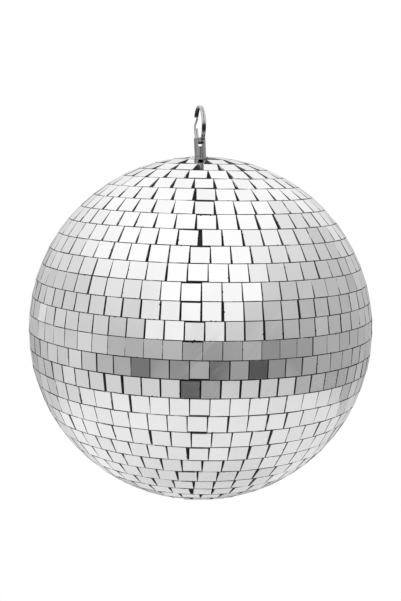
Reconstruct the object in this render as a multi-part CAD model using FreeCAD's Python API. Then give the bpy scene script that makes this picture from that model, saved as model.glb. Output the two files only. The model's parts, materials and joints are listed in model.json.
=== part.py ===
import FreeCAD, Part
import math
import os
import random

# Mirror ball, 8 inch size: square mirror tiles in rows on a hollow plastic core, a hanger pin
# clamped through the crown, and a split ring through the pin's cross hole.
#
# Millimetres and degrees. The origin is the hanging point, inside the top of the split ring.
# +Z is up, and the ball's front, where the tile rows close, faces -Y. Azimuths are counted from
# the front, positive towards +X.

Vector = FreeCAD.Vector
X_AXIS = Vector(1, 0, 0)
Y_AXIS = Vector(0, 1, 0)
Z_AXIS = Vector(0, 0, 1)
CENTRE = Vector(0, 0, 0)

# ---------------------------------------------------------------- driving dimensions

# Core: two plastic half shells that lap at the equator
CORE_RADIUS = 99.7
CORE_WALL = 2.2
LAP_HEIGHT = 4.0
LAP_GAP = 0.05

# Adhesive coat on the core
COAT_GAP = 0.03
COAT_THICKNESS = 0.27
COAT_HOLE_RADIUS = 5.6

# Mirror tiles
TILE_WIDTH = 9.92
TILE_HEIGHT = 9.7
TILE_THICKNESS = 1.2
TILE_BACK_RADIUS = 100.1
TILE_JOINT = 0.33
EQUATOR_JOINT = 0.18
EQUATOR_ROWS = 2
ROWS_PER_HALF = 15
ROW_PITCH_UPPER = 5.66
ROW_PITCH_LOWER = 5.74
BOTTOM_NEIGHBOURS = 4
PATTERN_LEAN = 1.06

# How unevenly the tiles are laid by hand. Most joints are narrow, and some are several times wider
SIZE_SPREAD = 0.03
ROW_SPREAD = 0.04
NARROW_JOINT = (0.45, 1.0)
WIDE_JOINT = (1.6, 3.4)
WIDE_JOINT_SHARE = 0.14
TURN_SPREAD = 0.2
TILT_SPREAD = 0.75
TILT_LIMIT = 1.5

# The last tile laid in a row is cut shorter, and sits high or low in it
CLOSING_HEIGHT = 9.1
CLOSING_SHIFT = 0.25

# Azimuth at which each row starts, from the equator to the pole, chosen by hand so that the
# closing tiles make a crooked seam down the front
START_UPPER = (0.6, 1.1, 0.1, 0.0, 2.0, 2.8, -0.3, 5.8, 5.2, 6.6, 6.7, 3.7, -5.0, 5.0, 20.0)
START_LOWER = (2.7, 0.2, 3.1, 2.6, 4.2, 3.6, 1.6, -0.2, -1.8, -2.7, 2.0, -4.6, 7.0, -9.0, 0.0)

# Hanger pin
PIN_RADIUS = 3.4
PIN_TOP = 112.4
PIN_CHAMFER = 0.35
PIN_LEAN = 2.75
HOLE_RADIUS = 2.0
HOLE_HEIGHT = 109.0
HOLE_BEVEL = 0.35
STUD_RADIUS = 2.45
STUD_END = 88.0
STUD_CHAMFER = 0.6

# Seat washer, load plate and lock nut, M5
WASHER_RADIUS = 5.0
WASHER_THICKNESS = 1.0
STUD_CLEARANCE_RADIUS = 2.65
PLATE_RADIUS = 18.0
PLATE_THICKNESS = 1.5
PLATE_TOP = 95.8
NUT_FLATS = 8.0
NUT_HEIGHT = 4.0
NUT_COLLAR_HEIGHT = 1.0
NUT_COLLAR_RADIUS = 3.4
NUT_BORE_RADIUS = 2.5

# Split ring, two turns of flat wire side by side
RING_OUTER_RADIUS = 11.2
WIRE_RADIAL = 1.4
WIRE_AXIAL = 1.15
WIRE_CORNER = 0.34
TURN_GAP = 0.06
RING_RISE = 10.63
RING_TURN = 13.0
CROSSOVER_START = 158.0
CROSSOVER_END = 186.0
WIRE_FIRST_END = 191.0
WIRE_LAST_END = 153.5
CROSSOVER_SECTIONS = 9

# Cutting tools: larger than anything they trim
CUTTER = 40.0
# Slack for picking an edge by its height
PICK = 0.01

# ---------------------------------------------------------------- derived places

CORE_INNER = CORE_RADIUS - CORE_WALL
COAT_INNER = CORE_RADIUS + COAT_GAP
COAT_OUTER = COAT_INNER + COAT_THICKNESS
SEAT_TOP = CORE_RADIUS + COAT_GAP + WASHER_THICKNESS
RING_INNER_RADIUS = RING_OUTER_RADIUS - WIRE_RADIAL
RING_HEIGHT = HOLE_HEIGHT + RING_RISE
HANG_HEIGHT = RING_HEIGHT + RING_INNER_RADIUS

# The leaning pin carries the cross hole, and so the ring, a little to the left of the ball's axis
HOLE_OFFSET = -(HOLE_HEIGHT - SEAT_TOP) * math.tan(math.radians(PIN_LEAN))

# From the ball's own frame (centre of the ball) to the part's frame (hanging point)
TO_PART = FreeCAD.Placement(Vector(-HOLE_OFFSET, 0, -HANG_HEIGHT), FreeCAD.Rotation())
TO_PATTERN = TO_PART.multiply(FreeCAD.Placement(CENTRE, FreeCAD.Rotation(Y_AXIS, PATTERN_LEAN)))

# The cross hole's direction, and the direction across the two turns of the ring
HOLE_AXIS = Vector(math.sin(math.radians(RING_TURN)), -math.cos(math.radians(RING_TURN)), 0)
RING_AXIS = Vector(math.cos(math.radians(RING_TURN)), math.sin(math.radians(RING_TURN)), 0)


def save(name, shape, placement=TO_PART):
    """Move a shape from its own frame to the part's frame and write its STEP file."""
    shape.Placement = placement.multiply(shape.Placement)
    shape.exportStep("parts/" + name + ".step")


# ---------------------------------------------------------------- core and coat

def half_shell(outer, inner, upper):
    """Half of a hollow ball, cut at the equator."""
    shell = Part.makeSphere(outer).cut(Part.makeSphere(inner))
    size = 3 * outer
    bottom = 0 if upper else -size
    half_space = Part.makeBox(size, size, size, Vector(-size / 2, -size / 2, bottom))
    return shell.common(half_space)


def core_upper():
    """Upper half of the core, with a rebate at the equator and the stud's hole in the crown."""
    lap_radius = CORE_RADIUS - CORE_WALL / 2
    rebate = Part.makeCylinder(lap_radius, LAP_HEIGHT + LAP_GAP)
    stud_hole = Part.makeCylinder(STUD_CLEARANCE_RADIUS, CORE_RADIUS)
    return half_shell(CORE_RADIUS, CORE_INNER, True).cut(rebate).cut(stud_hole)


def core_lower():
    """Lower half of the core, with the spigot that fits the upper half's rebate."""
    lap_radius = CORE_RADIUS - CORE_WALL / 2 - LAP_GAP
    spigot_wall = CORE_WALL / 2 + LAP_GAP
    spigot = Part.makeCylinder(lap_radius, 2 * LAP_HEIGHT, Vector(0, 0, -LAP_HEIGHT))
    bore = Part.makeCylinder(lap_radius - spigot_wall, 2 * LAP_HEIGHT, Vector(0, 0, -LAP_HEIGHT))
    return half_shell(CORE_RADIUS, CORE_INNER, False).fuse(spigot.cut(bore)).removeSplitter()


def adhesive_coat(upper):
    """Adhesive on one half of the core; the upper one is open where the seat washer sits."""
    coat = half_shell(COAT_OUTER, COAT_INNER, upper)
    if upper:
        coat = coat.cut(Part.makeCylinder(COAT_HOLE_RADIUS, 2 * CORE_RADIUS))
    return coat


# ---------------------------------------------------------------- hanger

def hanger_pin():
    """Pin that leans on its flat shoulder, with a threaded stud below and a bevelled cross hole."""
    length = PIN_TOP - SEAT_TOP
    body = Part.makeCylinder(PIN_RADIUS, 2 * length, Vector(0, 0, -length))
    top_edge = [edge for edge in body.Edges if edge.BoundBox.ZMin > length - PICK]
    body = body.makeChamfer(PIN_CHAMFER, top_edge)
    body.rotate(CENTRE, Y_AXIS, -PIN_LEAN)
    body.translate(Vector(0, 0, SEAT_TOP))
    corner = Vector(-CUTTER / 2, -CUTTER / 2, SEAT_TOP - CUTTER)
    below_shoulder = Part.makeBox(CUTTER, CUTTER, CUTTER, corner)
    body = body.cut(below_shoulder)
    for side in (-1, 1):
        body = body.cut(hole_bevel(side))
    body = body.cut(cross_hole())
    stud = Part.makeCylinder(STUD_RADIUS, SEAT_TOP - STUD_END + PIN_RADIUS, Vector(0, 0, STUD_END))
    end_edge = [edge for edge in stud.Edges if edge.BoundBox.ZMax < STUD_END + PICK]
    stud = stud.makeChamfer(STUD_CHAMFER, end_edge)
    return body.fuse(stud).removeSplitter()


def hole_centre():
    """Middle of the pin's cross hole, in the ball's frame."""
    return Vector(HOLE_OFFSET, 0, HOLE_HEIGHT)


def cross_hole():
    """Cutter for the cross hole."""
    start = hole_centre() - HOLE_AXIS * 2 * PIN_RADIUS
    return Part.makeCylinder(HOLE_RADIUS, 4 * PIN_RADIUS, start, HOLE_AXIS)


def hole_bevel(side):
    """Cutter for the bevel round one mouth of the cross hole."""
    direction = HOLE_AXIS * side
    start = hole_centre() + direction * (PIN_RADIUS - 2 * HOLE_BEVEL)
    reach = 4 * HOLE_BEVEL
    return Part.makeCone(HOLE_RADIUS - HOLE_BEVEL, HOLE_RADIUS + reach - HOLE_BEVEL, reach, start, direction)


def disc_with_hole(radius, hole_radius, thickness, bottom):
    """Flat round washer or plate on the ball's axis."""
    disc = Part.makeCylinder(radius, thickness, Vector(0, 0, bottom))
    return disc.cut(Part.makeCylinder(hole_radius, 3 * thickness, Vector(0, 0, bottom - thickness)))


def lock_nut():
    """Hexagon nut with the round collar of its locking insert, below the load plate."""
    top = PLATE_TOP - PLATE_THICKNESS
    corner_radius = NUT_FLATS / 2 / math.cos(math.radians(30))
    corners = []
    for corner in range(7):
        angle = math.radians(60 * corner)
        corners.append(Vector(corner_radius * math.cos(angle), corner_radius * math.sin(angle), top))
    hexagon = Part.Face(Part.makePolygon(corners)).extrude(Vector(0, 0, -NUT_HEIGHT))
    collar_length = NUT_HEIGHT + NUT_COLLAR_HEIGHT
    collar = Part.makeCylinder(NUT_COLLAR_RADIUS, collar_length, Vector(0, 0, top - collar_length))
    bore = Part.makeCylinder(NUT_BORE_RADIUS, 3 * collar_length, Vector(0, 0, top - 2 * collar_length))
    return hexagon.fuse(collar).cut(bore).removeSplitter()


# ---------------------------------------------------------------- split ring

def ring_point(radius, angle, side):
    """Point at a radius and angle in the ring's plane, moved sideways across the turns."""
    turn = math.radians(angle)
    in_plane = HOLE_AXIS * (radius * math.cos(turn)) + Z_AXIS * (radius * math.sin(turn))
    return Vector(HOLE_OFFSET, 0, RING_HEIGHT) + in_plane + RING_AXIS * side


def wire_section(angle, side):
    """Rounded rectangle of the flat wire at one angle of the ring."""
    middle = RING_OUTER_RADIUS - WIRE_RADIAL / 2
    half_radial = WIRE_RADIAL / 2
    half_axial = WIRE_AXIAL / 2
    cut = WIRE_CORNER * (1 - math.sqrt(0.5))

    def at(radial, axial):
        return ring_point(middle + radial, angle, side + axial)

    edges = []
    signs = ((1, 1), (-1, 1), (-1, -1), (1, -1))
    for index, (radial_sign, axial_sign) in enumerate(signs):
        on_radial_face = at(radial_sign * half_radial, axial_sign * (half_axial - WIRE_CORNER))
        on_axial_face = at(radial_sign * (half_radial - WIRE_CORNER), axial_sign * half_axial)
        corner = at(radial_sign * (half_radial - cut), axial_sign * (half_axial - cut))
        first, last = on_radial_face, on_axial_face
        if index % 2:
            first, last = on_axial_face, on_radial_face
        if edges:
            edges.append(Part.LineSegment(previous, first).toShape())
        else:
            start = first
        edges.append(Part.Arc(first, corner, last).toShape())
        previous = last
    edges.append(Part.LineSegment(previous, start).toShape())
    return Part.Wire(edges)


def ring_turn(start, end, side):
    """One turn of the wire in its own plane, from one angle to another."""
    face = Part.Face(wire_section(start, side))
    axis = HOLE_AXIS.cross(Z_AXIS)
    return face.revolve(ring_point(0, 0, side), axis, end - start)


def crossover(side):
    """Stretch where the wire steps from one turn's plane to the other's."""
    sections = []
    for index in range(CROSSOVER_SECTIONS):
        along = index / (CROSSOVER_SECTIONS - 1)
        step = along * along * (3 - 2 * along)
        angle = CROSSOVER_START + along * (CROSSOVER_END - CROSSOVER_START)
        sections.append(wire_section(angle, side * (1 - 2 * step)))
    return Part.makeLoft(sections, True, False)


def split_ring():
    """Two turns of wire joined by the crossover, as one piece."""
    side = (WIRE_AXIAL + TURN_GAP) / 2
    first_turn = ring_turn(WIRE_FIRST_END, CROSSOVER_START + 360, side)
    last_turn = ring_turn(CROSSOVER_END, WIRE_LAST_END + 360, -side)
    return first_turn.fuse([crossover(side), last_turn]).removeSplitter()


# ---------------------------------------------------------------- mirror tiles

def limited(value, limit):
    return max(-limit, min(limit, value))


def tile(latitude, azimuth, width, height, lift, turn, tilt_up, tilt_side):
    """One flat tile, tangent to the ball at a latitude and azimuth, then turned and tilted a little."""
    lat = math.radians(latitude)
    az = math.radians(azimuth)
    outward = Vector(math.cos(lat) * math.sin(az), -math.cos(lat) * math.cos(az), math.sin(lat))
    east = Vector(math.cos(az), math.sin(az), 0)
    north = outward.cross(east)
    upright = FreeCAD.Rotation(east, north, outward, "ZXY")
    laid = FreeCAD.Rotation(Z_AXIS, turn).multiply(FreeCAD.Rotation(X_AXIS, tilt_up))
    laid = laid.multiply(FreeCAD.Rotation(Y_AXIS, tilt_side))
    glass = Part.makeBox(width, height, TILE_THICKNESS, Vector(-width / 2, -height / 2, 0))
    place = outward * TILE_BACK_RADIUS + north * lift
    glass.Placement = FreeCAD.Placement(place, upright.multiply(laid))
    return glass


def corner_reach(radius):
    """How far a tile's corners stand out past the middle of its edge, on a circle of this radius."""
    return (TILE_WIDTH / 2) ** 2 / (2 * radius)


def row_latitude(row, pitch):
    """Latitude of a row's middle; the rows open up a little towards the pole to clear the corners."""
    latitude = pitch / 2
    for _ in range(row):
        joint_radius = TILE_BACK_RADIUS * math.cos(math.radians(latitude + pitch / 2))
        extra = corner_reach(joint_radius) - corner_reach(TILE_BACK_RADIUS)
        latitude += pitch + math.degrees(extra / TILE_BACK_RADIUS)
    return latitude


def width_angle(width, radius):
    """Angle that a flat tile of this width takes up where its edge passes at this radius."""
    return math.degrees(2 * math.atan(width / 2 / radius))


def uneven_shares(count, total, hand):
    """The room that a row's tiles leave, shared out unevenly over its joints."""
    shares = []
    for _ in range(count):
        spread = WIDE_JOINT if hand.random() < WIDE_JOINT_SHARE else NARROW_JOINT
        shares.append(hand.uniform(*spread))
    return [total * share / sum(shares) for share in shares]


def tile_row(row, upper):
    """A row of tiles round the ball; row 0 touches the equator, and the last tile closes the row."""
    start = (START_UPPER if upper else START_LOWER)[row]
    hand = random.Random(2 * row + upper)
    latitude = row_latitude(row, ROW_PITCH_UPPER if upper else ROW_PITCH_LOWER)
    signed = latitude if upper else -latitude
    lat = math.radians(latitude)
    joint = EQUATOR_JOINT if row < EQUATOR_ROWS else TILE_JOINT
    edge_radius = TILE_BACK_RADIUS * math.cos(lat) - TILE_HEIGHT / 2 * math.sin(lat)
    count = round(360 / width_angle(TILE_WIDTH + joint, edge_radius))
    widths = [TILE_WIDTH + hand.uniform(-SIZE_SPREAD, SIZE_SPREAD) for _ in range(count)]
    angles = [width_angle(width, edge_radius) for width in widths]
    joints = uneven_shares(count, 360 - sum(angles), hand)
    tiles = []
    edge = start
    for index in range(count):
        azimuth = edge + angles[index] / 2
        edge += angles[index] + joints[index]
        height = TILE_HEIGHT + hand.uniform(-SIZE_SPREAD, SIZE_SPREAD)
        lift = hand.uniform(-ROW_SPREAD, ROW_SPREAD)
        if index == count - 1:
            height = CLOSING_HEIGHT
            lift = hand.choice((-CLOSING_SHIFT, CLOSING_SHIFT))
        turn = limited(hand.gauss(0, TURN_SPREAD / 2), TURN_SPREAD)
        tilt_up = limited(hand.gauss(0, TILT_SPREAD), TILT_LIMIT)
        tilt_side = limited(hand.gauss(0, TILT_SPREAD), TILT_LIMIT)
        tiles.append(tile(signed, azimuth, widths[index], height, lift, turn, tilt_up, tilt_side))
    return Part.makeCompound(tiles)


def bottom_tile():
    """The tile that closes the bottom pole, square to the four tiles round it."""
    square_turn = 180 / BOTTOM_NEIGHBOURS
    return tile(-90, START_LOWER[-1], TILE_HEIGHT, TILE_HEIGHT, 0, square_turn, 0, 0)


def main():
    os.makedirs("parts", exist_ok=True)
    save("split_ring", split_ring())
    save("hanger_pin", hanger_pin())
    save("seat_washer", disc_with_hole(WASHER_RADIUS, STUD_CLEARANCE_RADIUS, WASHER_THICKNESS,
                                       SEAT_TOP - WASHER_THICKNESS))
    save("load_plate", disc_with_hole(PLATE_RADIUS, STUD_CLEARANCE_RADIUS, PLATE_THICKNESS,
                                      PLATE_TOP - PLATE_THICKNESS))
    save("lock_nut", lock_nut())
    save("core_upper", core_upper())
    save("core_lower", core_lower())
    save("adhesive_coat_upper", adhesive_coat(True))
    save("adhesive_coat_lower", adhesive_coat(False))
    for row in range(ROWS_PER_HALF):
        save("tile_row_upper_%02d" % (row + 1), tile_row(row, True), TO_PATTERN)
        save("tile_row_lower_%02d" % (row + 1), tile_row(row, False), TO_PATTERN)
    save("bottom_tile", bottom_tile(), TO_PATTERN)


main()
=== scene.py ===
import bpy
import json
import math
import random
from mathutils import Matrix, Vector


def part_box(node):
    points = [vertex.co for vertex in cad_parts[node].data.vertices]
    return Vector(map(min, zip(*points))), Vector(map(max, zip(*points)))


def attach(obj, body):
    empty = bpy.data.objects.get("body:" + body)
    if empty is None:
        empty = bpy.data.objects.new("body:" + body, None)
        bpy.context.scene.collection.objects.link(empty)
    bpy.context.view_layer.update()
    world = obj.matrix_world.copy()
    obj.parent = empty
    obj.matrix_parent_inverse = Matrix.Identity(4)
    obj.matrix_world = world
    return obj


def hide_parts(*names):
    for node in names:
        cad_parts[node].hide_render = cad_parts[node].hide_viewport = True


# A mirror ball hanging from its split ring in a plain white studio.
# Metres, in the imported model's frame: origin inside the top of the split ring, +Z up, front -Y.
# Azimuth and elevation are in degrees, seen from the ball's centre; 0, 0 is the front.

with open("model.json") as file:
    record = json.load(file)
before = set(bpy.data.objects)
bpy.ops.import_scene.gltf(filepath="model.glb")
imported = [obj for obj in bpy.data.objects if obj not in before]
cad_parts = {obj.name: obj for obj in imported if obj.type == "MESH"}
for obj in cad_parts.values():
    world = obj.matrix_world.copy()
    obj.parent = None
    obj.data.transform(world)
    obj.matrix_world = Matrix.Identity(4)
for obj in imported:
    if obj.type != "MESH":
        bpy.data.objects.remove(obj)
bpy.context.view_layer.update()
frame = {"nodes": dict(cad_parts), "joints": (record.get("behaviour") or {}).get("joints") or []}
nodes = frame["nodes"]
scene = bpy.context.scene

# ---------------------------------------------------------------- places, from the frame

core_low, core_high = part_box("core_lower")
upper_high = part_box("core_upper")[1]
BALL_CENTRE = Vector(((core_low.x + core_high.x) / 2, (core_low.y + core_high.y) / 2,
                      (core_low.z + upper_high.z) / 2))

# ---------------------------------------------------------------- studio

# The camera's lens and sensor are in millimetres; it aims a little above the ball's centre
CAMERA_DISTANCE = 0.6455
CAMERA_ELEVATION = 9.6
CAMERA_TILT_UP = 1.43
CAMERA_LENS = 64.6
CAMERA_SENSOR = 36.0
CAMERA_CLIP = (0.01, 20.0)

# Round table top centred below the ball, cut straight at the back
FLOOR_DROP = 0.30
FLOOR_REACH = 0.78
FLOOR_BACK = 0.27
FLOOR_CORNERS = 160
# The camera sees it plain. For reflections and bounced light it has painted shade: it greys towards its
# edge, between two radii, and towards the right, and has a painted shadow of the ball in a strip under
# and behind the ball: stops from front to back, and how far out the strip's sides fade
FLOOR_ALBEDO = 0.86
FLOOR_SHADED_EDGE_GREY = 0.66
FLOOR_SHADE_RADII = (0.42, 0.60)
FLOOR_RIGHT_SHADE = (0.05, 0.35, 1.0, 0.94)
FLOOR_BALL_SHADOW = ((-0.16, 1.0), (-0.10, 0.97), (-0.02, 0.88), (0.20, 0.88), (0.26, 0.60))
FLOOR_BALL_SHADOW_SIDES = (0.10, 0.15)
FLOOR_ROUGHNESS = 0.9
FLOOR_SPECULAR = 0.1

# One soft box, high on the left
KEY_AZIMUTH = -58.0
KEY_ELEVATION = 52.0
KEY_DISTANCE = 1.1
KEY_SIZE = 0.5
KEY_POWER = 1.5

# Cards over the table for darker reflections: azimuth, elevation, distance, width, height, and the
# grey at the left and at the right for someone who faces the ball
CARDS = {
    "front_card": (0.3, -25.3, 0.445, 0.125, 0.055, 0.15, 0.42),
    "right_card": (84.0, -23.0, 0.60, 0.42, 0.07, 0.50, 0.44),
}
# Where the two greys meet, in shares of the width from the middle
CARD_BLEND = (-0.03, 0.03)
CARD_SQUARES = 6
CARD_ROUGHNESS = 0.8
# Faint unevenness of the floor's paint and of the cards' paper
FLOOR_MOTTLE_SCALE = 2.0
CARD_MOTTLE_SCALE = 8.0
MOTTLE = (-0.01, 0.01)

# ---------------------------------------------------------------- room

# Brightness of the room by elevation, at the left, the middle and the right of the camera's side:
# white ceiling and sweep above, a dim room at eye level
ROOM_LEFT = ((-15, 0.70), (-5, 0.73), (7, 0.76), (17, 0.86), (28, 1.00), (40, 1.20), (50, 1.30))
ROOM_MIDDLE = ((-15, 0.36), (-5, 0.48), (2, 0.75), (7, 1.00), (17, 1.13), (28, 1.25), (40, 1.30))
ROOM_RIGHT = ((-15, 0.44), (-5, 0.46), (7, 0.58), (17, 0.66), (28, 0.75), (40, 0.92), (52, 1.12),
              (65, 1.30))
# Azimuths over which the middle changes to the left and to the right; the change to the right moves
# outwards with elevation
LEFT_CHANGE = (-29, -38)
RIGHT_CHANGE = (14, 42)
RIGHT_CHANGE_RISE = (17, 30)
RIGHT_CHANGE_SHIFT = 18.0
# How the dim part varies by azimuth, near the table's edge and at eye level, and the elevations over
# which the one changes to the other and the variation ends
ROOM_LOW = ((-150, 0.80), (-100, 1.10), (-52, 0.75), (-27, 0.92), (0, 1.08), (27, 1.10), (52, 0.80),
            (80, 1.08), (130, 1.15))
ROOM_EYE_LEVEL = ((-150, 0.95), (-100, 1.10), (-52, 0.80), (-42, 0.66), (-26, 1.33), (-13, 1.28),
                  (0, 0.78), (13, 0.76), (26, 1.02), (39, 0.70), (52, 0.80), (78, 1.05), (130, 1.20))
EYE_LEVEL_CHANGE = (-13, -7)
VARIATION_END = (0, 8)
# Dark things in the room: azimuth, elevation, size and darkness. The soft edge is in shares of size
DARK_THINGS = ((-39, -16, 6.0, 0.58), (13, -17, 6.5, 0.50), (40, -17, 6.0, 0.72))
DARK_THING_EDGE = (0.7, 1.3)
# Small bright streaks and mottled clutter, which fade out between two elevations
SMALL_THINGS_FADE = (34, 12)
STREAK_SHIFT = (0.0, 0.0, 2.0)
STREAK_SCALE = (7.0, 2.0, 2.6)
STREAK_RANGE = (0.56, 0.62)
STREAK_BRIGHTNESS = 0.13
CLUTTER_SCALE = 9.0
CLUTTER_RANGE = (0.35, 0.65)
CLUTTER_TONE = (0.93, 1.07)
# The room behind the ball by elevation: white sweep, darker towards the table's level, most of all
# straight behind
ROOM_BEHIND = ((-30, 0.84), (-25, 0.77), (-20, 0.66), (-17, 0.53), (-13, 0.48), (-8, 0.57), (0, 0.58),
               (5, 0.74), (11, 0.86), (20, 1.02), (40, 1.20), (60, 1.25))
BEHIND_CHANGE = (125, 148)
STRAIGHT_BEHIND_CHANGE = (163, 172)
LOW_BEHIND_CHANGE = (-12, -17)
LOW_BEHIND_DARKNESS = 0.35

# ---------------------------------------------------------------- materials

# Most values of a noise texture are in this range
NOISE_RANGE = (0.3, 0.7)

# Silvered glass: its brightness from tile to tile, faint clouds, and tiny dull specks
SILVER = (0.735, 0.80)
CLOUD_SCALE = 45.0
CLOUD_TONE = (-0.012, 0.012)
CLOUD_POLISH_RANGE = (0.35, 0.75)
SPECK_SCALE = 2200.0
SPECK_RANGE = (0.72, 0.80)
SPECK_TONE = 0.45
SPECK_ROUGHNESS = 0.4
# Its roughness in the clouds and from tile to tile, and how far it isn't flat
POLISH = (0.030, 0.065)
TILE_POLISH = (1.2, 0.8)
WARP_SCALE = 60.0
WARP_DEPTH = 0.0000016
# Wiping marks on it: the turn of the strokes, their size along each axis, where they show and how
# strongly, and their haze
WIPE_TURN = (0.35, -0.75, 0.25)
WIPE_SIZE = (0.036, 0.036, 0.0060)
SMEAR_RANGE = (0.54, 0.70)
SMEAR_STRENGTH = 0.75
SMEAR_ROUGHNESS = 0.25

# Cut glass edge: dark where it is scored, with painted glints in bright patches at random places
SCORE_SCALE = 900.0
SCORE_TONE = (0.08, 0.22)
SCORE_ROUGHNESS = (0.22, 0.42)
TILE_EDGE_TONE = (0.7, 1.3)
GLINT_SCALE = 110.0
GLINT_RANGE = (0.57, 0.67)
GLINT_TONE = 0.75
EDGE_RELIEF_SCALE = 1400.0
EDGE_RELIEF_DEPTH = 0.00008

# Paint on the back of the glass
PAINT_SCALE = 500.0
PAINT_TONE = (0.04, 0.09)
PAINT_ROUGHNESS = (0.5, 0.7)

# Black adhesive, in daubs
DAUB_SCALE = 260.0
DAUB_RANGE = (0.35, 0.75)
DAUB_DEPTH = 0.0004
ADHESIVE_TONE = (0.008, 0.03)
ADHESIVE_ROUGHNESS = (0.85, 0.6)
ADHESIVE_SPECULAR = 0.3

# Dark plastic of the core
PLASTIC_SCALE = 900.0
PLASTIC_TONE = (0.035, 0.06)
PLASTIC_ROUGHNESS = (0.45, 0.6)

# Steel: brightness, roughness, the factor on Z that draws its grain out, and the grain's scale,
# depth and contrast
PIN_FINISH = (0.37, 0.26, 0.04, 1300.0, 0.00005, 0.55)
RING_FINISH = (0.46, 0.10, 1.0, 900.0, 0.000002, 0.10)
ZINC_FINISH = (0.62, 0.28, 1.0, 1200.0, 0.00001, 0.12)
GRAIN_ROUGHNESS = (0.8, 1.25)
STAIN_SCALE = 300.0
STAIN_TONE = (0.90, 1.06)
# Places of painted shade: how bright they still are, and their soft edge in shares of their radius
SHADE_SPOT_TONE = 0.12
SHADE_SPOT_EDGE = (0.6, 1.3)

# ---------------------------------------------------------------- ring and pin

# The turn of the ring's plane from the front, and how wide its wire is towards the ring's middle
RING_TURN = math.radians(13.0)
WIRE_RADIAL = 0.0014
# Places of painted shade round the ring: angle from its front, upwards, and radius
RING_SHADE_SPOTS = ((128, 0.0045), (-9, 0.0024), (-85, 0.0034))
# Radius of the painted shade in the pin's cross hole
HOLE_SHADE_RADIUS = 0.0028

# ---------------------------------------------------------------- tiles

# Hand-cut glass: how far the real outline stays inside the tile's nominal rectangle
CORNER_CUT = (0.00005, 0.00020)
EDGE_NIBBLE = 0.00004
# Points along each side, how far they wander in shares of their spacing, and how many are chipped
POINTS_PER_SIDE = 3
POINT_WANDER = 0.25
CHIP_SHARE = 0.05
CHIP_DEPTH = (0.00018, 0.00045)
# A chip's outline along the side and into it, in shares of its depth
CHIP_OUTLINE = ((-1.5, 0.0), (-0.6, 0.8), (0.5, 1.0), (1.4, 0.0))
# Ground bevel round the mirror face
BEVEL = (0.00004, 0.00009)
# Rows near the equator whose tiles are cut narrower, by this much on each side, so that their joints
# are wider; paint covers their cut sides
SIDE_TRIM = {
    "tile_row_lower_01": (0.00000, 0.00024),
    "tile_row_lower_02": (0.00010, 0.00040),
    "tile_row_upper_02": (0.00004, 0.00030),
    "tile_row_upper_03": (0.00002, 0.00026),
}
# A tile's material slots
MIRROR_SLOT = 0
EDGE_SLOT = 1
BACK_SLOT = 2
# Corners on the same point of a grid this fine are one corner of a CAD tile
SNAP = 0.000004
# A face whose normal is less outward than this is a side of its CAD tile
SIDE_LIMIT = 0.5
# Points closer than this count as one at the bottom pole of the lower shells
POLE_WELD = 0.00001


class Graph:
    """Short forms for building a node tree."""

    def __init__(self, tree):
        self.tree = tree
        tree.nodes.clear()

    def node(self, kind, inputs=None, **settings):
        made = self.tree.nodes.new(kind)
        for name, value in settings.items():
            setattr(made, name, value)
        for name, value in (inputs or {}).items():
            self.put(made.inputs[name], value)
        return made

    def put(self, socket, value):
        if isinstance(value, bpy.types.NodeSocket):
            self.tree.links.new(value, socket)
        else:
            socket.default_value = value

    def math(self, operation, first, second=0.0):
        return self.node("ShaderNodeMath", {0: first, 1: second}, operation=operation).outputs[0]

    def vector(self, operation, first, second=(0.0, 0.0, 0.0)):
        made = self.node("ShaderNodeVectorMath", {0: first, 1: second}, operation=operation)
        return made.outputs["Value" if operation == "LENGTH" else "Vector"]

    def spread(self, value, low, high, to_low=0.0, to_high=1.0, smooth=False):
        """A value between low and high, carried over to between to_low and to_high."""
        kind = "SMOOTHSTEP" if smooth else "LINEAR"
        inputs = {"Value": value, "From Min": low, "From Max": high, "To Min": to_low, "To Max": to_high}
        return self.node("ShaderNodeMapRange", inputs, interpolation_type=kind).outputs["Result"]

    def mix(self, factor, first, second):
        """Blend of two numbers."""
        made = self.node("ShaderNodeMix", data_type="FLOAT")
        for socket, value in zip(made.inputs[0:1] + made.inputs[2:4], (factor, first, second)):
            self.put(socket, value)
        return made.outputs[0]

    def ramp(self, value, low, high, stops):
        """Grey level as a function of a value, through given stops."""
        made = self.node("ShaderNodeValToRGB", {0: self.spread(value, low, high)})
        elements = made.color_ramp.elements
        while len(elements) < len(stops):
            elements.new(0.5)
        for element, (place, level) in zip(elements, stops):
            element.position = (place - low) / (high - low)
            element.color = (level, level, level, 1.0)
        return self.node("ShaderNodeRGBToBW", {0: made.outputs["Color"]}).outputs[0]

    def noise(self, vector, scale, detail=3.0, roughness=0.5):
        inputs = {"Vector": vector, "Scale": scale, "Detail": detail, "Roughness": roughness}
        return self.node("ShaderNodeTexNoise", inputs).outputs["Fac"]

    def axes(self, vector):
        """The vector's three numbers."""
        return self.node("ShaderNodeSeparateXYZ", {0: vector}).outputs

    def place(self):
        """The point being shaded, in the object's own metres."""
        return self.node("ShaderNodeTexCoord").outputs["Object"]

    def tile_tone(self):
        """Number between 0 and 1 that each tile has for itself."""
        return self.node("ShaderNodeAttribute", attribute_name="tile_tone").outputs["Fac"]

    def seen_by_camera(self):
        return self.node("ShaderNodeLightPath").outputs["Is Camera Ray"]


# ---------------------------------------------------------------- surroundings

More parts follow.
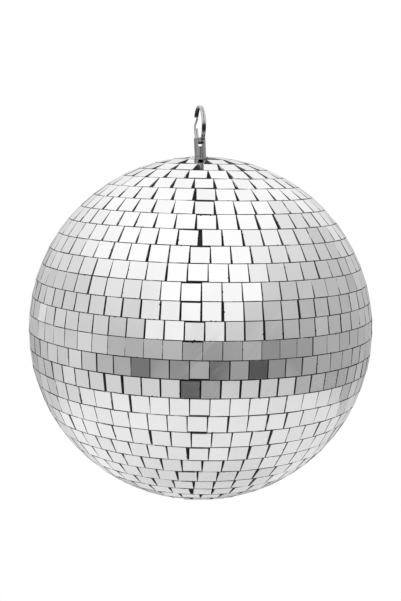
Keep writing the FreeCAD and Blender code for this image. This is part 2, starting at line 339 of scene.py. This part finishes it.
def room_in_front(g, direction, azimuth, elevation):
    """Brightness of the room on the camera's side."""
    shift = g.spread(elevation, *RIGHT_CHANGE_RISE, 0.0, RIGHT_CHANGE_SHIFT)
    on_right = g.spread(g.math("SUBTRACT", azimuth, shift), *RIGHT_CHANGE, smooth=True)
    on_left = g.spread(azimuth, *LEFT_CHANGE, smooth=True)
    middle = g.ramp(elevation, -90, 90, ROOM_MIDDLE)
    right = g.ramp(elevation, -90, 90, ROOM_RIGHT)
    left = g.ramp(elevation, -90, 90, ROOM_LEFT)
    room = g.mix(on_left, g.mix(on_right, middle, right), left)
    low = g.ramp(azimuth, -180, 180, ROOM_LOW)
    eye_level = g.ramp(azimuth, -180, 180, ROOM_EYE_LEVEL)
    varied = g.mix(g.spread(elevation, *EYE_LEVEL_CHANGE, smooth=True), low, eye_level)
    above = g.spread(elevation, *VARIATION_END, smooth=True)
    room = g.math("MULTIPLY", room, g.mix(above, varied, 1.0))
    for thing_azimuth, thing_elevation, size, darkness in DARK_THINGS:
        across = g.math("SUBTRACT", azimuth, float(thing_azimuth))
        up = g.math("SUBTRACT", elevation, float(thing_elevation))
        squares = g.math("ADD", g.math("MULTIPLY", across, across), g.math("MULTIPLY", up, up))
        inner, outer = (size * share for share in DARK_THING_EDGE)
        shade = g.spread(g.math("SQRT", squares), inner, outer, 1.0 - darkness, 1.0, smooth=True)
        room = g.math("MULTIPLY", room, shade)
    slanted = g.vector("MULTIPLY", g.vector("ADD", direction, STREAK_SHIFT), STREAK_SCALE)
    streaks = g.spread(g.noise(slanted, 1.0, 2.0, 0.4), *STREAK_RANGE, smooth=True)
    clutter = g.spread(g.noise(direction, CLUTTER_SCALE, 3.0, 0.6), *CLUTTER_RANGE, *CLUTTER_TONE)
    dim = g.spread(elevation, *SMALL_THINGS_FADE, smooth=True)
    bright = g.math("MULTIPLY", g.math("MULTIPLY", streaks, dim), STREAK_BRIGHTNESS)
    return g.math("ADD", g.math("MULTIPLY", room, g.mix(dim, 1.0, clutter)), bright)


def room_behind(g, off_front, elevation):
    """Brightness of the sweep behind the ball, by azimuth without its sign and elevation."""
    straight = g.spread(off_front, *STRAIGHT_BEHIND_CHANGE, smooth=True)
    low = g.spread(elevation, *LOW_BEHIND_CHANGE, 0.0, LOW_BEHIND_DARKNESS)
    kept = g.math("SUBTRACT", 1.0, g.math("MULTIPLY", straight, low))
    return g.math("MULTIPLY", g.ramp(elevation, -90, 90, ROOM_BEHIND), kept)


def surroundings():
    """World: plain white to the camera, and a studio room for reflections and soft light."""
    world = bpy.data.worlds.new("studio")
    world.use_nodes = True
    scene.world = world
    g = Graph(world.node_tree)
    direction = g.node("ShaderNodeTexCoord").outputs["Generated"]
    x, y, z = g.axes(direction)
    in_degrees = 180 / math.pi
    elevation = g.math("MULTIPLY", g.math("ARCSINE", z), in_degrees)
    azimuth = g.math("MULTIPLY", g.math("ARCTAN2", x, g.math("MULTIPLY", y, -1.0)), in_degrees)
    off_front = g.math("ABSOLUTE", azimuth)
    behind = g.spread(off_front, *BEHIND_CHANGE, smooth=True)
    room = g.mix(behind, room_in_front(g, direction, azimuth, elevation),
                 room_behind(g, off_front, elevation))
    strength = g.mix(g.seen_by_camera(), room, 1.0)
    background = g.node("ShaderNodeBackground", {"Color": (1, 1, 1, 1), "Strength": strength})
    g.node("ShaderNodeOutputWorld", {"Surface": background.outputs[0]})


def principled(name):
    """A new material with its graph and its Principled shader."""
    material = bpy.data.materials.new(name)
    material.use_nodes = True
    g = Graph(material.node_tree)
    shader = g.node("ShaderNodeBsdfPrincipled")
    g.node("ShaderNodeOutputMaterial", {"Surface": shader.outputs[0]})
    return material, g, shader


def colour(g, shader, level):
    """Colour of a shader from a grey level."""
    grey = g.node("ShaderNodeCombineColor", {0: level, 1: level, 2: level}).outputs[0]
    g.put(shader.inputs["Base Color"], grey)


def relief(g, shader, pattern, depth):
    """Bumps from a pattern between 0 and 1, and how high they are in metres."""
    height = g.math("MULTIPLY", pattern, depth)
    bump = g.node("ShaderNodeBump", {"Height": height, "Strength": 1.0, "Distance": 1.0})
    g.put(shader.inputs["Normal"], bump.outputs[0])


def floor():
    """Round white table top below the ball, cut straight at the back."""
    turns = [2 * math.pi * corner / FLOOR_CORNERS for corner in range(FLOOR_CORNERS)]
    corners = [(FLOOR_REACH * math.cos(turn), min(FLOOR_REACH * math.sin(turn), FLOOR_BACK), 0.0)
               for turn in turns]
    mesh = bpy.data.meshes.new("studio_floor")
    mesh.from_pydata(corners, [], [tuple(range(FLOOR_CORNERS))])
    disc = bpy.data.objects.new("studio_floor", mesh)
    scene.collection.objects.link(disc)
    disc.location = BALL_CENTRE - Vector((0, 0, FLOOR_DROP))
    material, g, shader = principled("pale_floor")
    place = g.place()
    x, y = g.axes(place)[:2]
    # Painted shade for reflections and bounced light: greyer towards the edge and the right, and a painted
    # shadow of the ball in a strip under and behind it
    level = g.spread(g.vector("LENGTH", place), *FLOOR_SHADE_RADII, FLOOR_ALBEDO, FLOOR_SHADED_EDGE_GREY, smooth=True)
    aside = g.spread(g.math("ABSOLUTE", x), *FLOOR_BALL_SHADOW_SIDES, smooth=True)
    strip = g.ramp(y, -FLOOR_REACH, FLOOR_REACH, FLOOR_BALL_SHADOW)
    level = g.math("MULTIPLY", level, g.mix(aside, strip, 1.0))
    level = g.math("MULTIPLY", level, g.spread(x, *FLOOR_RIGHT_SHADE, smooth=True))
    level = g.mix(g.seen_by_camera(), level, FLOOR_ALBEDO)
    paint = g.spread(g.noise(place, FLOOR_MOTTLE_SCALE), *NOISE_RANGE, *MOTTLE)
    colour(g, shader, g.math("ADD", level, paint))
    shader.inputs["Roughness"].default_value = FLOOR_ROUGHNESS
    shader.inputs["Specular IOR Level"].default_value = FLOOR_SPECULAR
    disc.data.materials.append(material)


def from_ball(azimuth, elevation, distance):
    """Point at an azimuth, an elevation and a distance from the ball's centre."""
    a = math.radians(azimuth)
    e = math.radians(elevation)
    direction = Vector((math.sin(a) * math.cos(e), -math.cos(a) * math.cos(e), math.sin(e)))
    return BALL_CENTRE + direction * distance


def card(name, azimuth, elevation, distance, width, height, left, right):
    """Card that some tiles reflect; the camera doesn't see it."""
    bpy.ops.mesh.primitive_grid_add(x_subdivisions=CARD_SQUARES, y_subdivisions=CARD_SQUARES, size=1.0)
    sheet = bpy.context.object
    sheet.name = name
    sheet.scale = (width, height, 1.0)
    sheet.location = from_ball(azimuth, elevation, distance)
    sheet.rotation_euler = (BALL_CENTRE - sheet.location).to_track_quat("Z", "Y").to_euler()
    material, g, shader = principled(name)
    place = g.place()
    level = g.spread(g.axes(place)[0], *CARD_BLEND, right, left, smooth=True)
    paper = g.spread(g.noise(place, CARD_MOTTLE_SCALE), *NOISE_RANGE, *MOTTLE)
    colour(g, shader, g.math("ADD", level, paper))
    shader.inputs["Roughness"].default_value = CARD_ROUGHNESS
    sheet.data.materials.append(material)
    sheet.visible_camera = False
    sheet.visible_shadow = False
    sheet.visible_diffuse = False


def key_light():
    """One soft box, high on the left, which no reflection shows."""
    data = bpy.data.lights.new("soft_box", "AREA")
    data.shape = "SQUARE"
    data.size = KEY_SIZE
    data.energy = KEY_POWER
    lamp = bpy.data.objects.new("soft_box", data)
    lamp.location = from_ball(KEY_AZIMUTH, KEY_ELEVATION, KEY_DISTANCE)
    lamp.rotation_euler = (BALL_CENTRE - lamp.location).to_track_quat("-Z", "Y").to_euler()
    lamp.visible_glossy = False
    scene.collection.objects.link(lamp)


def camera():
    """Camera in front of the ball and a little above its centre."""
    data = bpy.data.cameras.new("camera")
    data.sensor_width = CAMERA_SENSOR
    data.lens = CAMERA_LENS
    data.clip_start, data.clip_end = CAMERA_CLIP
    eye = bpy.data.objects.new("camera", data)
    eye.location = from_ball(0.0, CAMERA_ELEVATION, CAMERA_DISTANCE)
    eye.rotation_euler = (math.radians(90 - CAMERA_ELEVATION + CAMERA_TILT_UP), 0.0, 0.0)
    scene.collection.objects.link(eye)
    scene.camera = eye


# ---------------------------------------------------------------- materials of the pieces

def mirror_face():
    """Silvered glass from the front: each tile has its own tone and polish, all have wiping marks."""
    material, g, shader = principled("mirror_face")
    place = g.place()
    tone = g.tile_tone()
    cloudy = g.noise(place, CLOUD_SCALE, 4.0)
    specks = g.spread(g.noise(place, SPECK_SCALE, 2.0, 0.5), *SPECK_RANGE)
    clouds = g.spread(cloudy, *NOISE_RANGE, *CLOUD_TONE)
    silver = g.math("ADD", g.spread(tone, 0.0, 1.0, *SILVER), clouds)
    colour(g, shader, g.mix(specks, silver, SPECK_TONE))
    shader.inputs["Metallic"].default_value = 1.0
    polish = g.math("MULTIPLY", g.spread(cloudy, *CLOUD_POLISH_RANGE, *POLISH),
                    g.spread(tone, 0.0, 1.0, *TILE_POLISH))
    wiped = g.node("ShaderNodeMapping", {"Vector": place, "Rotation": WIPE_TURN, "Scale": WIPE_SIZE},
                   vector_type="TEXTURE").outputs[0]
    smears = g.spread(g.noise(wiped, 1.0, 3.0, 0.55), *SMEAR_RANGE, 0.0, SMEAR_STRENGTH, smooth=True)
    hazy = g.mix(smears, polish, SMEAR_ROUGHNESS)
    g.put(shader.inputs["Roughness"], g.mix(specks, hazy, SPECK_ROUGHNESS))
    relief(g, shader, g.noise(place, WARP_SCALE, 2.0), WARP_DEPTH)
    return material


def cut_edge():
    """Ground and snapped glass edge: dark, with painted glints in bright patches at random places."""
    material, g, shader = principled("cut_glass_edge")
    place = g.place()
    scored = g.noise(place, SCORE_SCALE, 5.0, 0.65)
    # Painted glints: bright patches at random places stand in for light caught by the cut edge
    painted_glints = g.spread(g.noise(place, GLINT_SCALE, 2.0), *GLINT_RANGE, smooth=True)
    dark = g.math("MULTIPLY", g.spread(scored, *NOISE_RANGE, *SCORE_TONE),
                  g.spread(g.tile_tone(), 0.0, 1.0, *TILE_EDGE_TONE))
    colour(g, shader, g.mix(painted_glints, dark, GLINT_TONE))
    g.put(shader.inputs["Roughness"], g.spread(scored, *NOISE_RANGE, *SCORE_ROUGHNESS))
    relief(g, shader, g.noise(place, EDGE_RELIEF_SCALE, 4.0, 0.7), EDGE_RELIEF_DEPTH)
    return material


def painted_back():
    """Protective paint on the back of the silvering."""
    material, g, shader = principled("painted_back")
    film = g.noise(g.place(), PAINT_SCALE, 3.0)
    colour(g, shader, g.spread(film, *NOISE_RANGE, *PAINT_TONE))
    g.put(shader.inputs["Roughness"], g.spread(film, *NOISE_RANGE, *PAINT_ROUGHNESS))
    return material


def black_adhesive():
    """Black adhesive, daubed on."""
    material, g, shader = principled("black_adhesive")
    daubs = g.noise(g.place(), DAUB_SCALE, 5.0, 0.6)
    colour(g, shader, g.spread(daubs, *DAUB_RANGE, *ADHESIVE_TONE))
    g.put(shader.inputs["Roughness"], g.spread(daubs, *NOISE_RANGE, *ADHESIVE_ROUGHNESS))
    shader.inputs["Specular IOR Level"].default_value = ADHESIVE_SPECULAR
    relief(g, shader, daubs, DAUB_DEPTH)
    return material


def core_plastic():
    """Dark plastic of the core."""
    material, g, shader = principled("core_plastic")
    grain = g.noise(g.place(), PLASTIC_SCALE, 4.0)
    colour(g, shader, g.spread(grain, *NOISE_RANGE, *PLASTIC_TONE))
    g.put(shader.inputs["Roughness"], g.spread(grain, *NOISE_RANGE, *PLASTIC_ROUGHNESS))
    return material


def steel(name, finish, shade_spots=()):
    """Steel with a grain and stains, and places of painted shade: centre and radius of each."""
    level, roughness, grain_stretch, grain_scale, grain_depth, contrast = finish
    material, g, shader = principled(name)
    place = g.place()
    stretched = g.vector("MULTIPLY", place, (1.0, 1.0, grain_stretch))
    grain = g.noise(stretched, grain_scale, 3.0, 0.6)
    stains = g.noise(place, STAIN_SCALE, 3.0)
    tone = g.math("MULTIPLY", g.spread(grain, *NOISE_RANGE, 1.0 - contrast, 1.0 + contrast),
                  g.spread(stains, *NOISE_RANGE, *STAIN_TONE))
    # Painted shade: darker round each given place
    for centre, radius in shade_spots:
        apart = g.vector("LENGTH", g.vector("SUBTRACT", place, tuple(centre)))
        inner, outer = (radius * share for share in SHADE_SPOT_EDGE)
        tone = g.math("MULTIPLY", tone, g.spread(apart, inner, outer, SHADE_SPOT_TONE, 1.0, smooth=True))
    colour(g, shader, g.math("MULTIPLY", tone, level))
    shader.inputs["Metallic"].default_value = 1.0
    smoothest, roughest = (roughness * share for share in GRAIN_ROUGHNESS)
    g.put(shader.inputs["Roughness"], g.spread(grain, *NOISE_RANGE, smoothest, roughest))
    relief(g, shader, grain, grain_depth)
    return material


def on_ring(angle):
    """Point in the middle of the ring's wire, by angle from the ring's front, upwards."""
    low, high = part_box("split_ring")
    middle = (low + high) / 2
    reach = (high.z - low.z) / 2 - WIRE_RADIAL / 2
    front = Vector((math.sin(RING_TURN), -math.cos(RING_TURN), 0.0))
    turn = math.radians(angle)
    return middle + front * (reach * math.cos(turn)) + Vector((0, 0, reach * math.sin(turn)))


def dress(material, names):
    """Give one material to CAD nodes."""
    for name in names:
        mesh = nodes[name].data
        mesh.materials.clear()
        mesh.materials.append(material)


# ---------------------------------------------------------------- tiles

def snapped(point):
    """A point's place on a fine grid, so that a tile's coinciding corners count as one."""
    return tuple(round(value / SNAP) for value in point)


def faces_by_tile(mesh, places):
    """The faces of a CAD row, in a list for each tile."""
    leader = {snapped(place): snapped(place) for place in places}

    def find(key):
        while leader[key] != key:
            key = leader[key]
        return key

    for face in mesh.polygons:
        first = find(snapped(places[face.vertices[0]]))
        for index in face.vertices[1:]:
            leader[find(snapped(places[index]))] = first
    tiles = {}
    for face in mesh.polygons:
        tiles.setdefault(find(snapped(places[face.vertices[0]])), []).append(face)
    return tiles.values()


def tile_blocks(node):
    """For each tile of a CAD row: the middle of its back, its three axes and its size along them."""
    matrix = node.matrix_world
    turned = matrix.to_3x3()
    places = [matrix @ vertex.co for vertex in node.data.vertices]
    blocks = []
    for faces in faces_by_tile(node.data, places):
        corners = list({snapped(places[i]): places[i] for face in faces for i in face.vertices}.values())
        middle = sum(corners, Vector()) / len(corners)
        broadest = max(faces, key=lambda face: face.area)
        outward = (turned @ broadest.normal).normalized()
        if outward.dot(middle - BALL_CENTRE) < 0:
            outward = -outward
        normals = [(turned @ face.normal).normalized() for face in faces]
        sides = [normal for normal in normals if abs(normal.dot(outward)) < SIDE_LIMIT]
        up = max(sides, key=lambda normal: (round(normal.z, 3), round(normal.x, 3)))
        across = up.cross(outward)
        size = []
        for axis in (across, up, outward):
            along = [corner.dot(axis) for corner in corners]
            size.append(max(along) - min(along))
        blocks.append((middle - outward * size[2] / 2, (across, up, outward), size))
    return blocks


def side_points(length, hand):
    """Points along one cut side as (distance along it, depth inside it), between two clipped corners."""
    start = hand.uniform(*CORNER_CUT)
    end = length - hand.uniform(*CORNER_CUT)
    points = [(start, 0.0)]
    for index in range(POINTS_PER_SIDE):
        wander = hand.uniform(-POINT_WANDER, POINT_WANDER)
        along = length * (index + 1 + wander) / (POINTS_PER_SIDE + 1)
        if hand.random() < CHIP_SHARE:
            depth = hand.uniform(*CHIP_DEPTH)
            points += [(along + forward * depth, inward * depth) for forward, inward in CHIP_OUTLINE]
        else:
            points.append((along, hand.uniform(0.0, EDGE_NIBBLE)))
    points.append((end, 0.0))
    return points


def tile_outline(width, height, hand):
    """Outline of one hand-cut tile about its middle, counter-clockwise, inside width by height."""
    outline = []
    for side in range(4):
        length = height if side % 2 else width
        reach = (width if side % 2 else height) / 2
        turn = math.pi / 2 * side
        for along, depth in side_points(length, hand):
            x = along - length / 2
            y = depth - reach
            outline.append((x * math.cos(turn) - y * math.sin(turn),
                            x * math.sin(turn) + y * math.cos(turn)))
    return outline


def tile_faces(first, count, side_slots):
    """Faces of one tile, each with its material slot: its back, two bands of sides and its mirror."""
    faces = [(tuple(range(first + count - 1, first - 1, -1)), BACK_SLOT)]
    for band, slot in enumerate(side_slots):
        low = first + band * count
        for index in range(count):
            after = (index + 1) % count
            faces.append(((low + index, low + after, low + count + after, low + count + index), slot))
    faces.append((tuple(range(first + 2 * count, first + 3 * count)), MIRROR_SLOT))
    return faces


def laid_tiles(name, materials):
    """One row of hand-cut tiles in place of a CAD row: mirror face, ground bevel, cut edge and back."""
    hand = random.Random(name)
    vertices = []
    faces = []
    slots = []
    tones = []
    side_slots = (BACK_SLOT if name in SIDE_TRIM else EDGE_SLOT, EDGE_SLOT)
    for back, (across, up, outward), (width, height, thickness) in tile_blocks(nodes[name]):
        width -= 2 * hand.uniform(*SIDE_TRIM.get(name, (0.0, 0.0)))
        outline = tile_outline(width, height, hand)
        bevel = hand.uniform(*BEVEL)
        tone = hand.random()
        first = len(vertices)
        for inset, rise in ((0.0, 0.0), (0.0, thickness - bevel), (bevel, thickness)):
            for x, y in outline:
                place = across * (x * (1 - 2 * inset / width)) + up * (y * (1 - 2 * inset / height))
                vertices.append(back + place + outward * rise)
        for face, slot in tile_faces(first, len(outline), side_slots):
            faces.append(face)
            slots.append(slot)
            tones.append(tone)
    mesh = bpy.data.meshes.new(name + "_glass")
    mesh.from_pydata(vertices, [], faces)
    for material in materials:
        mesh.materials.append(material)
    mesh.polygons.foreach_set("material_index", slots)
    mesh.attributes.new("tile_tone", "FLOAT", "FACE").data.foreach_set("value", tones)
    piece = bpy.data.objects.new(name + "_glass", mesh)
    scene.collection.objects.link(piece)
    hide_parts(name)
    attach(piece, "ball")


def main():
    scene.view_settings.view_transform = "Standard"
    surroundings()
    floor()
    key_light()
    camera()
    for name, facts in CARDS.items():
        card(name, *facts)
    glass = (mirror_face(), cut_edge(), painted_back())
    for name in sorted(nodes):
        if name.startswith("tile_row") or name == "bottom_tile":
            laid_tiles(name, glass)
    dress(black_adhesive(), ("adhesive_coat_upper", "adhesive_coat_lower"))
    cross_hole = Vector(frame["joints"][0]["pos_m"])
    # Painted shade in the pin's cross hole
    dress(steel("pin_steel", PIN_FINISH, [(cross_hole, HOLE_SHADE_RADIUS)]), ("hanger_pin",))
    # Painted shade on the ring
    ring_shade_spots = [(on_ring(angle), radius) for angle, radius in RING_SHADE_SPOTS]
    dress(steel("ring_steel", RING_FINISH, ring_shade_spots), ("split_ring",))
    dress(steel("zinc_plated_steel", ZINC_FINISH), ("seat_washer", "load_plate", "lock_nut"))
    dress(core_plastic(), ("core_upper", "core_lower"))
    for name in ("core_lower", "adhesive_coat_lower"):
        nodes[name].modifiers.new("joined_pole", "WELD").merge_threshold = POLE_WELD


main()
